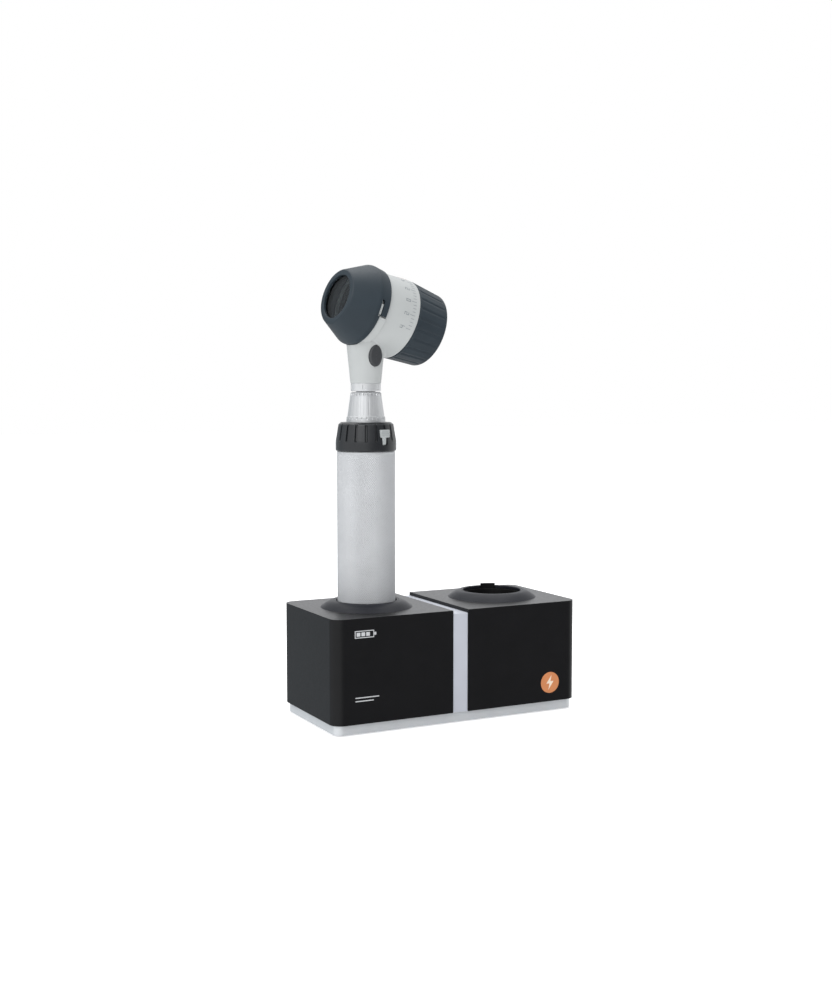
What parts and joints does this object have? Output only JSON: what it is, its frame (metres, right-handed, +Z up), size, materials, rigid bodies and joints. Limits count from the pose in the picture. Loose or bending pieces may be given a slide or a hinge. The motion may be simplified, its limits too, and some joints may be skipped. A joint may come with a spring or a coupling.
{
  "type": "dermatoscope",
  "caption": "Handheld illuminated skin magnifier with dimmer ring, focus ring and twist-off contact cone, standing in a desk charger with paired wells.",
  "frame": {"origin": "centre of the charger's footprint, on the surface it stands on", "axes": "+Z up, -Y towards the charger's front, -X towards the magnifier's contact end"},
  "size_m": [0.1412, 0.0666, 0.2332],
  "materials": {
    "housing_black": "satin moulded plastic with a fine grain",
    "collar_slate": "satin slate grey plastic",
    "inner_black": "matt black plastic",
    "base_silver": "silver paint, satin",
    "strip_silver": "silver paint, satin",
    "foot_rubber": "matt",
    "screw_steel": "plated",
    "contact_gold": "gold plated, polished",
    "board_green": "solder resist",
    "part_black": "moulded component bodies",
    "spring_steel": "drawn wire",
    "sleeve_silver": "satin chrome over a fine diamond knurl",
    "cell_wrap": "heat-shrink wrap",
    "chrome": "polished chrome plate",
    "ring_black": "satin black plastic",
    "lock_grey": "light grey plastic",
    "collar_steel": "satin nickel plate",
    "shell_white": "off-white, semi-gloss",
    "button_dark": "soft-touch dark grey",
    "white_plastic": "natural",
    "led_yellow": "clear epoxy over phosphor",
    "filter_grey": "neutral polarising film",
    "lens_glass": "polished, coated",
    "head_slate": "satin slate grey plastic"
  },
  "bodies": {
    "charger": {"base_plate": "base_silver", "rubber_feet": "foot_rubber", "base_screws": "screw_steel", "left_housing": "housing_black", "right_housing": "housing_black", "centre_strip": "strip_silver", "left_collar": "collar_slate", "right_collar": "collar_slate", "left_well_liner": "inner_black", "right_well_liner": "inner_black", "left_contact_carrier": "inner_black", "right_contact_carrier": "inner_black", "ring_contacts": "contact_gold", "charger_board": "board_green", "board_parts": "part_black", "power_inlet": "part_black", "left_pin_spring": "spring_steel", "right_pin_spring": "spring_steel"},
    "left_pin": {"left_charge_pin": "contact_gold"},
    "right_pin": {"right_charge_pin": "contact_gold"},
    "handle": {"handle_sleeve": "sleeve_silver", "handle_foot": "inner_black", "foot_contacts": "contact_gold", "foot_seal": "foot_rubber", "battery_spring": "spring_steel", "battery_cell": "cell_wrap", "battery_holder": "inner_black", "handle_board": "board_green", "chassis": "inner_black", "dimmer_track": "contact_gold", "connector": "chrome", "pin_insulator": "white_plastic", "top_pin_spring": "spring_steel"},
    "top_pin": {"top_pin": "contact_gold"},
    "control_ring": {"control_ring": "ring_black", "dimmer_wiper": "contact_gold", "lock_spring": "spring_steel"},
    "lock_button": {"lock_button": "lock_grey"},
    "head": {"neck_collar": "collar_steel", "head_housing": "shell_white", "head_insulator": "white_plastic", "head_contact": "contact_gold", "push_switch": "part_black", "led_board": "white_plastic", "leds": "led_yellow", "polariser": "filter_grey", "lens_tube": "inner_black", "front_lens": "lens_glass", "focus_guide": "inner_black"},
    "push_button": {"push_button": "button_dark"},
    "contact_cone": {"contact_cone": "head_slate", "contact_glass": "lens_glass", "glass_retainer": "inner_black"},
    "focus_ring": {"focus_ring": "head_slate", "eye_window": "lens_glass"},
    "lens_cell": {"lens_cell": "inner_black", "rear_lens": "lens_glass", "cam_pins": "screw_steel"}
  },
  "joints": [
    {"name": "instrument_lift", "type": "slide", "parent": "charger", "child": "handle", "axis": [0, 0, 1], "range_m": [0, 0.06]},
    {"name": "left_pin_press", "type": "slide", "parent": "charger", "child": "left_pin", "axis": [0, 0, -1], "range_m": [0, 0.0012], "stiffness_N_per_m": 150, "deforming": ["left_pin_spring"]},
    {"name": "right_pin_press", "type": "slide", "parent": "charger", "child": "right_pin", "axis": [0, 0, -1], "range_m": [0, 0.0012], "stiffness_N_per_m": 150, "deforming": ["right_pin_spring"]},
    {"name": "ring_turn", "type": "hinge", "parent": "handle", "child": "control_ring", "pos_m": [-0.0375, 0, 0.146], "axis": [0, 0, 1], "range_deg": [0, 150]},
    {"name": "lock_press", "type": "slide", "parent": "control_ring", "child": "lock_button", "axis": [-0.2639, 0.9646, 0], "range_m": [0, 0.0005], "stiffness_N_per_m": 600, "deforming": ["lock_spring"]},
    {"name": "top_pin_press", "type": "slide", "parent": "handle", "child": "top_pin", "axis": [0, 0, -1], "range_m": [0, 0.0008], "stiffness_N_per_m": 200, "deforming": ["top_pin_spring"]},
    {"name": "head_turn", "type": "hinge", "parent": "handle", "child": "head", "pos_m": [-0.0375, 0, 0.171], "axis": [0, 0, 1], "range_deg": [0, 45]},
    {"name": "button_press", "type": "slide", "parent": "head", "child": "push_button", "axis": [-0.1374, 0.9905, 0], "range_m": [0, 0.0006], "stiffness_N_per_m": 500},
    {"name": "cone_twist", "type": "hinge", "parent": "head", "child": "contact_cone", "pos_m": [-0.0375, 0, 0.21174], "axis": [-0.9502, -0.1319, 0.2823], "range_deg": [0, 20]},
    {"name": "focus_turn", "type": "hinge", "parent": "head", "child": "focus_ring", "pos_m": [-0.0375, 0, 0.21174], "axis": [-0.9502, -0.1319, 0.2823], "range_deg": [-150, 150]},
    {"name": "lens_slide", "type": "slide", "parent": "head", "child": "lens_cell", "axis": [-0.9502, -0.1319, 0.2823], "range_m": [-0.0022, 0.0022]}
  ],
  "couplings": [
    {"joint": "lens_slide", "follows": "focus_turn", "m_per_rad": 0.00084}
  ]
}
